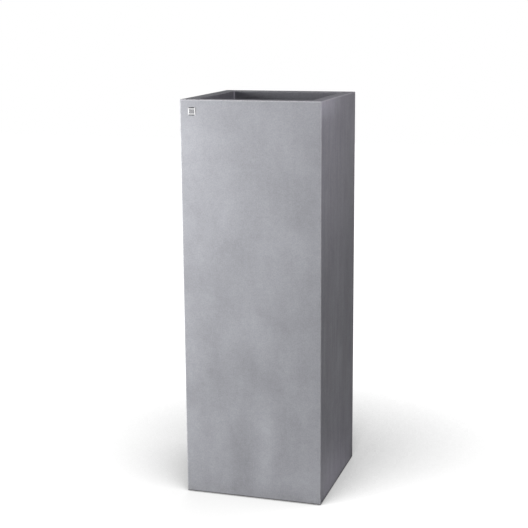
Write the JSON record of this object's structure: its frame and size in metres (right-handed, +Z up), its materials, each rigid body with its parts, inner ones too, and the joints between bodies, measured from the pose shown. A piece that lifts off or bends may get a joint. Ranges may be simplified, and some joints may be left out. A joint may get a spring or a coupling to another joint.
{
  "type": "tall square planter",
  "caption": "Tall square glass-fibre planter on low feet, with a turned-in rim, a raised shelf, a lift-out metal liner with wire handles, and a plugged drain hole.",
  "frame": {"origin": "on the ground, under the centre of the square shell", "axes": "+Z up; the front face, with the badge, looks along -Y; +X is to its right"},
  "size_m": [0.352, 0.3535, 1],
  "materials": {
    "shell_grp": "satin gelcoat, cloudy concrete grey",
    "raw_laminate": "raw glass-fibre laminate",
    "plywood": "sealed birch plywood",
    "batten_wood": "planed softwood",
    "foot_rubber": "matte moulded rubber",
    "plug_rubber": "matte moulded rubber",
    "drain_plastic": "moulded plastic",
    "zinc_plated_steel": "bright zinc plate",
    "galvanised_sheet": "hot-dip galvanised, soft spangle",
    "galvanised_fittings": "galvanised",
    "handle_wire": "galvanised wire",
    "rivet_aluminium": "satin",
    "badge_chrome": "polished",
    "badge_foam": "foam tape"
  },
  "bodies": {
    "planter": {"outer_shell": "shell_grp", "base_panel": "raw_laminate", "base_bond_fillet": "raw_laminate", "shelf_panel": "plywood", "front_shelf_ledge": "batten_wood", "right_shelf_ledge": "batten_wood", "back_shelf_ledge": "batten_wood", "left_shelf_ledge": "batten_wood", "front_left_foot": "foot_rubber", "front_right_foot": "foot_rubber", "back_left_foot": "foot_rubber", "back_right_foot": "foot_rubber", "drain_bushing": "drain_plastic", "drain_lock_nut": "drain_plastic", "shelf_screws": "zinc_plated_steel", "foot_screws": "zinc_plated_steel", "badge_plate": "badge_chrome", "badge_adhesive": "badge_foam"},
    "insert": {"insert_liner": "galvanised_sheet", "left_handle_bracket": "galvanised_fittings", "right_handle_bracket": "galvanised_fittings", "bracket_rivets": "rivet_aluminium"},
    "left_bail": {"left_handle": "handle_wire"},
    "right_bail": {"right_handle": "handle_wire"},
    "plug": {"drain_plug": "plug_rubber"}
  },
  "joints": [
    {"name": "insert_lift", "type": "slide", "parent": "planter", "child": "insert", "axis": [0, 0, 1], "range_m": [0, 0.4]},
    {"name": "left_handle_swing", "type": "hinge", "parent": "insert", "child": "left_bail", "pos_m": [-0.13105, 0, 0.92], "axis": [0, -1, 0], "range_deg": [0, 180]},
    {"name": "right_handle_swing", "type": "hinge", "parent": "insert", "child": "right_bail", "pos_m": [0.13105, 0, 0.92], "axis": [0, 1, 0], "range_deg": [0, 180]},
    {"name": "plug_pull", "type": "slide", "parent": "planter", "child": "plug", "axis": [0, 0, 1], "range_m": [0, 0.1]}
  ]
}
